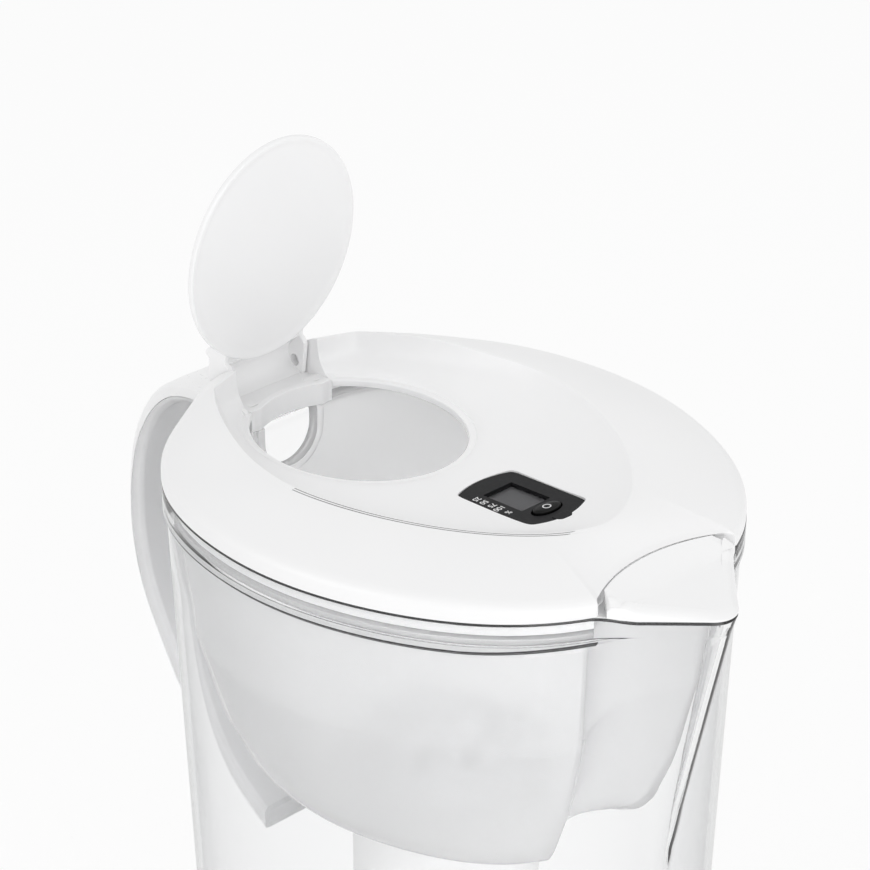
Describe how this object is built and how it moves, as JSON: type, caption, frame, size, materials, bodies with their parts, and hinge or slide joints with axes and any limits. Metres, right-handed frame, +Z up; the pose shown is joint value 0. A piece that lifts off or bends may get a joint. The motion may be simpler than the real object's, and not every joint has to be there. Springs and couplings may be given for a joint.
{
  "type": "water filter pitcher",
  "caption": "Clear fridge jug with a white lid, a hinged filling cover shown open, a pouring flap, a filter reminder display and a lift-out funnel with a filter cartridge.",
  "frame": {"origin": "under the middle of the whole part's box, on the table", "axes": "+X towards the spout, +Y to the left as seen from behind the handle, +Z up"},
  "size_m": [0.2514, 0.1592, 0.3322],
  "materials": {
    "clear_jug": "clear, polished",
    "white_handle": "white, satin",
    "smoke_liner": "translucent grey",
    "funnel_grey": "milky, translucent",
    "cartridge_white": "white, fine matt",
    "cap_white": "white, fine matt",
    "seal_rubber": "soft black rubber",
    "screen_mesh": "fine woven mesh",
    "filter_grains": "dark grains",
    "white_lid": "white, satin",
    "white_flip": "white, satin",
    "bezel_grey": "charcoal, fine matt",
    "window_clear": "clear, polished",
    "lcd_grey": "grey glass panel",
    "board_green": "solder mask",
    "switch_metal": "pressed metal",
    "button_black": "black, glossy",
    "cell_steel": "brushed",
    "clip_brass": "spring brass"
  },
  "bodies": {
    "jug": {"jug_shell": "clear_jug", "handle_shell": "white_handle", "handle_liner": "smoke_liner"},
    "funnel": {"funnel_shell": "funnel_grey"},
    "cartridge": {"cartridge_shell": "cartridge_white", "cartridge_cap": "cap_white", "cartridge_seal": "seal_rubber", "cartridge_top_screen": "screen_mesh", "filter_media": "filter_grains", "cartridge_bottom_screen": "screen_mesh"},
    "lid": {"lid_shell": "white_lid", "hinge_cradle": "white_lid", "display_bezel": "bezel_grey", "display_window": "window_clear", "lcd_panel": "lcd_grey", "lcd_connector": "seal_rubber", "circuit_board": "board_green", "button_switch": "switch_metal", "display_housing": "bezel_grey", "coin_cell": "cell_steel", "battery_clip": "clip_brass", "battery_cover": "bezel_grey"},
    "flip_lid": {"flip_lid": "white_flip"},
    "spout_flap": {"spout_flap": "white_flip"},
    "start_button": {"start_button": "button_black"}
  },
  "joints": [
    {"name": "funnel_lift", "type": "slide", "parent": "jug", "child": "funnel", "axis": [0, 0, 1], "range_m": [0, 0.2]},
    {"name": "cartridge_lift", "type": "slide", "parent": "funnel", "child": "cartridge", "axis": [0, 0, 1], "range_m": [0, 0.045]},
    {"name": "lid_lift", "type": "slide", "parent": "funnel", "child": "lid", "axis": [0, 0, 1], "range_m": [0, 0.08]},
    {"name": "flip_lid_hinge", "type": "hinge", "parent": "lid", "child": "flip_lid", "pos_m": [-0.0717, 0, 0.249], "axis": [0, 1, 0], "range_deg": [0, 82]},
    {"name": "spout_flap_hinge", "type": "hinge", "parent": "lid", "child": "spout_flap", "pos_m": [0.1001, 0, 0.2438], "axis": [0, -1, 0], "range_deg": [0, 35]},
    {"name": "start_button_press", "type": "slide", "parent": "lid", "child": "start_button", "axis": [0.0593, 0, -0.9982], "range_m": [0, 0.0005], "stiffness_N_per_m": 400}
  ]
}
